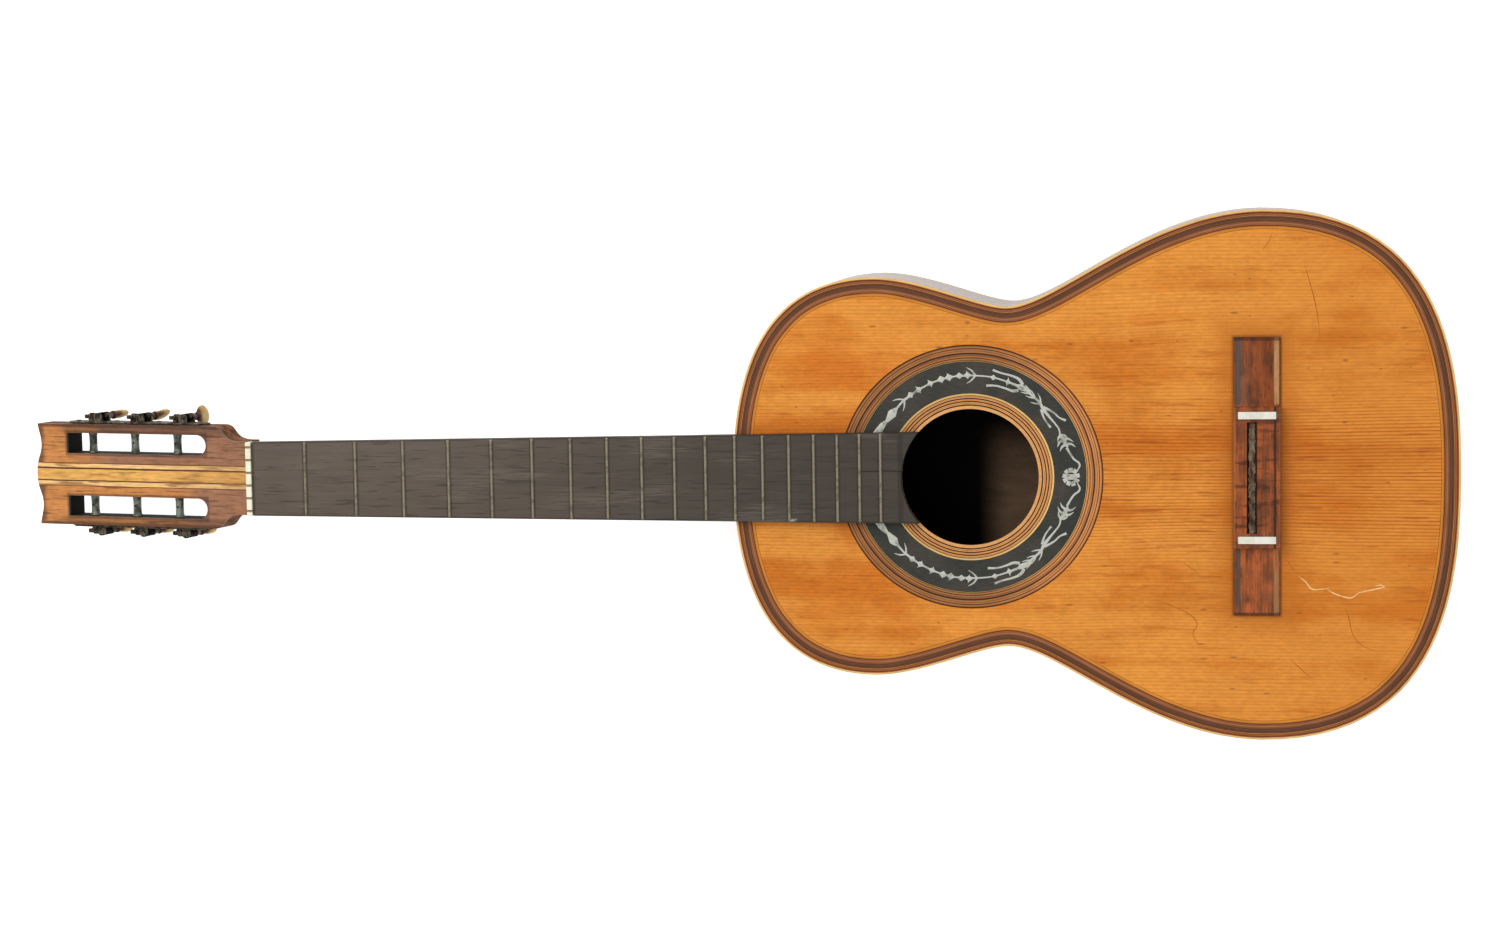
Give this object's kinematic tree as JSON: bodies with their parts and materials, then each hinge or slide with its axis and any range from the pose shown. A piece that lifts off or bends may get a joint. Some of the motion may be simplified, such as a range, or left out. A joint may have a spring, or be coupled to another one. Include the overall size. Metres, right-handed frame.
{
  "type": "nylon-string guitar",
  "caption": "Acoustic guitar for nylon strings: hollow waisted body, round soundhole with rosette, fretted neck and slotted head with worm-geared tuners.",
  "frame": {"origin": "centre of the footprint, on the plane that the flat back rests on", "axes": "+X from head to tail, +Y towards the treble side, +Z out of the soundboard"},
  "size_m": [0.953, 0.3398, 0.0973],
  "materials": {
    "spruce_top": "satin varnish",
    "rosewood_body": "gloss varnish",
    "light_binding": "satin varnish",
    "purfling_wood": "satin varnish",
    "rosette_lines": "satin varnish",
    "rosette_black": "satin varnish with metal inlay",
    "rosette_wood": "satin varnish",
    "inner_cedar": "bare",
    "inner_spruce": "bare",
    "neck_wood": "satin varnish",
    "fingerboard_wood": "worn bare wood",
    "aged_bone": "satin",
    "head_veneer_wood": "satin varnish",
    "head_strip_wood": "satin varnish",
    "bridge_wood": "worn satin",
    "plate_metal": "tarnished",
    "aged_steel": "tarnished",
    "button_bone": "satin"
  },
  "bodies": {
    "guitar_body": {"soundboard": "spruce_top", "back_plate": "rosewood_body", "rib_treble": "rosewood_body", "rib_bass": "rosewood_body", "top_binding": "light_binding", "back_binding": "light_binding", "top_purfling": "purfling_wood", "rosette_inner_ring": "rosette_lines", "rosette_black_ring": "rosette_black", "rosette_outer_ring": "rosette_wood", "top_lining": "inner_cedar", "back_lining": "inner_cedar", "neck_block": "inner_cedar", "tail_block": "inner_cedar", "harmonic_bar_upper": "inner_spruce", "harmonic_bar_lower": "inner_spruce", "fan_strut_1": "inner_spruce", "fan_strut_2": "inner_spruce", "fan_strut_3": "inner_spruce", "fan_strut_4": "inner_spruce", "fan_strut_5": "inner_spruce", "back_bar_upper": "inner_spruce", "back_bar_middle": "inner_spruce", "back_bar_lower": "inner_spruce", "neck": "neck_wood", "heel_cap": "neck_wood", "fingerboard": "fingerboard_wood", "nut": "aged_bone", "headstock": "neck_wood", "head_veneer": "head_veneer_wood", "head_centre_strip": "head_strip_wood", "bridge": "bridge_wood", "bridge_bone_treble": "aged_bone", "bridge_bone_bass": "aged_bone", "tuner_plate_treble": "plate_metal", "tuner_plate_bass": "plate_metal"},
    "worm_treble_1": {"worm_shaft_treble_1": "aged_steel", "button_treble_1": "button_bone"},
    "roller_set_treble_1": {"roller_treble_1": "aged_steel", "gear_treble_1": "aged_steel"},
    "worm_treble_2": {"worm_shaft_treble_2": "aged_steel", "button_treble_2": "button_bone"},
    "roller_set_treble_2": {"roller_treble_2": "aged_steel", "gear_treble_2": "aged_steel"},
    "worm_treble_3": {"worm_shaft_treble_3": "aged_steel", "button_treble_3": "button_bone"},
    "roller_set_treble_3": {"roller_treble_3": "aged_steel", "gear_treble_3": "aged_steel"},
    "worm_bass_1": {"worm_shaft_bass_1": "aged_steel", "button_bass_1": "button_bone"},
    "roller_set_bass_1": {"roller_bass_1": "aged_steel", "gear_bass_1": "aged_steel"},
    "worm_bass_2": {"worm_shaft_bass_2": "aged_steel", "button_bass_2": "button_bone"},
    "roller_set_bass_2": {"roller_bass_2": "aged_steel", "gear_bass_2": "aged_steel"},
    "worm_bass_3": {"worm_shaft_bass_3": "aged_steel", "button_bass_3": "button_bone"},
    "roller_set_bass_3": {"roller_bass_3": "aged_steel", "gear_bass_3": "aged_steel"}
  },
  "joints": [
    {"name": "button_turn_treble_1", "type": "hinge", "parent": "guitar_body", "child": "worm_treble_1", "pos_m": [-0.36336, 0.0392, 0.06966], "axis": [-0.225, 0, 0.9744], "continuous": true},
    {"name": "roller_turn_treble_1", "type": "hinge", "parent": "guitar_body", "child": "roller_set_treble_1", "pos_m": [-0.37085, 0.0215, 0.06793], "axis": [0, 1, 0], "continuous": true},
    {"name": "button_turn_treble_2", "type": "hinge", "parent": "guitar_body", "child": "worm_treble_2", "pos_m": [-0.39581, 0.0392, 0.06217], "axis": [-0.225, 0, 0.9744], "continuous": true},
    {"name": "roller_turn_treble_2", "type": "hinge", "parent": "guitar_body", "child": "roller_set_treble_2", "pos_m": [-0.4033, 0.0215, 0.06044], "axis": [0, 1, 0], "continuous": true},
    {"name": "button_turn_treble_3", "type": "hinge", "parent": "guitar_body", "child": "worm_treble_3", "pos_m": [-0.42826, 0.0392, 0.05468], "axis": [-0.225, 0, 0.9744], "continuous": true},
    {"name": "roller_turn_treble_3", "type": "hinge", "parent": "guitar_body", "child": "roller_set_treble_3", "pos_m": [-0.43574, 0.0215, 0.05295], "axis": [0, 1, 0], "continuous": true},
    {"name": "button_turn_bass_1", "type": "hinge", "parent": "guitar_body", "child": "worm_bass_1", "pos_m": [-0.36336, -0.0392, 0.06966], "axis": [-0.225, 0, 0.9744], "continuous": true},
    {"name": "roller_turn_bass_1", "type": "hinge", "parent": "guitar_body", "child": "roller_set_bass_1", "pos_m": [-0.37085, -0.0215, 0.06793], "axis": [0, 1, 0], "continuous": true},
    {"name": "button_turn_bass_2", "type": "hinge", "parent": "guitar_body", "child": "worm_bass_2", "pos_m": [-0.39581, -0.0392, 0.06217], "axis": [-0.225, 0, 0.9744], "continuous": true},
    {"name": "roller_turn_bass_2", "type": "hinge", "parent": "guitar_body", "child": "roller_set_bass_2", "pos_m": [-0.4033, -0.0215, 0.06044], "axis": [0, 1, 0], "continuous": true},
    {"name": "button_turn_bass_3", "type": "hinge", "parent": "guitar_body", "child": "worm_bass_3", "pos_m": [-0.42826, -0.0392, 0.05468], "axis": [-0.225, 0, 0.9744], "continuous": true},
    {"name": "roller_turn_bass_3", "type": "hinge", "parent": "guitar_body", "child": "roller_set_bass_3", "pos_m": [-0.43574, -0.0215, 0.05295], "axis": [0, 1, 0], "continuous": true}
  ],
  "couplings": [
    {"joint": "roller_turn_treble_1", "follows": "button_turn_treble_1", "ratio": 0.071429},
    {"joint": "roller_turn_treble_2", "follows": "button_turn_treble_2", "ratio": 0.071429},
    {"joint": "roller_turn_treble_3", "follows": "button_turn_treble_3", "ratio": 0.071429},
    {"joint": "roller_turn_bass_1", "follows": "button_turn_bass_1", "ratio": 0.071429},
    {"joint": "roller_turn_bass_2", "follows": "button_turn_bass_2", "ratio": 0.071429},
    {"joint": "roller_turn_bass_3", "follows": "button_turn_bass_3", "ratio": 0.071429}
  ]
}
